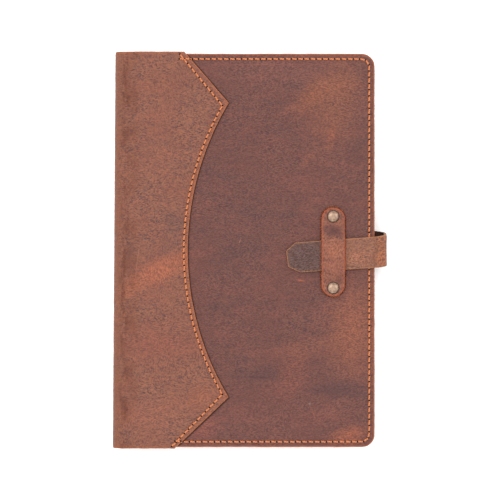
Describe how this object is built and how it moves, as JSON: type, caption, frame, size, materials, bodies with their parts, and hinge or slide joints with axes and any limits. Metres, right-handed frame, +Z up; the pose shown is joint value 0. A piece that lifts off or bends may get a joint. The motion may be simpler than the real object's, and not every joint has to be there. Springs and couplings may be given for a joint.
{
  "type": "leather notebook cover",
  "caption": "Stitched leather notebook cover with scalloped spine overlay, inner sleeves holding a notebook, and a strap tucked through a riveted keeper.",
  "frame": {"origin": "middle of the bounding box's bottom face, on the surface the closed cover lies on", "axes": "+X from the spine to the fore-edge, +Y towards the head, +Z up out of the front cover"},
  "size_m": [0.1574, 0.2294, 0.02],
  "materials": {
    "panel_leather": "matte waxed pull-up leather",
    "spine_leather": "matte waxed pull-up leather, lighter",
    "strap_leather": "matte waxed leather, worn lighter at the fold",
    "inner_leather": "matte leather",
    "thread": "waxed orange thread",
    "rivet": "antique satin",
    "notebook_board": "matte coated board",
    "paper": "uncoated paper"
  },
  "bodies": {
    "back": {"back_panel": "panel_leather", "back_yoke": "spine_leather", "back_sleeve": "inner_leather", "back_edge_stitching": "thread", "back_yoke_stitching": "thread", "strap_root": "strap_leather", "insert_back_board": "notebook_board", "page_block": "paper"},
    "spine": {"spine_leather": "spine_leather", "back_fold": "spine_leather", "front_fold": "spine_leather", "insert_spine": "notebook_board"},
    "front": {"front_panel": "panel_leather", "front_yoke": "spine_leather", "front_sleeve": "inner_leather", "front_edge_stitching": "thread", "front_yoke_stitching": "thread", "insert_front_board": "notebook_board", "strap_keeper": "panel_leather", "rivet_caps": "rivet", "rivet_posts": "rivet"},
    "loop": {"strap_loop": "strap_leather"},
    "strap": {"strap_tongue": "strap_leather"}
  },
  "joints": [
    {"name": "spine_fold", "type": "hinge", "parent": "back", "child": "spine", "pos_m": [-0.07746, 0, 0.00129], "axis": [0, -1, 0], "range_deg": [0, 88], "deforming": ["back_fold"]},
    {"name": "cover_open", "type": "hinge", "parent": "spine", "child": "front", "pos_m": [-0.07746, 0, 0.01631], "axis": [0, -1, 0], "range_deg": [0, 88], "deforming": ["front_fold"]},
    {"name": "strap_release", "type": "hinge", "parent": "back", "child": "loop", "pos_m": [0.077, 0, 0.0049], "axis": [0, 1, 0], "range_deg": [0, 90], "deforming": ["strap_loop"]},
    {"name": "strap_unroll", "type": "hinge", "parent": "loop", "child": "strap", "pos_m": [0.077, 0, 0.0158], "axis": [0, 1, 0], "range_deg": [0, 90], "deforming": ["strap_tongue"]}
  ],
  "couplings": [
    {"joint": "cover_open", "follows": "spine_fold", "ratio": 1},
    {"joint": "strap_unroll", "follows": "strap_release", "ratio": 1}
  ]
}
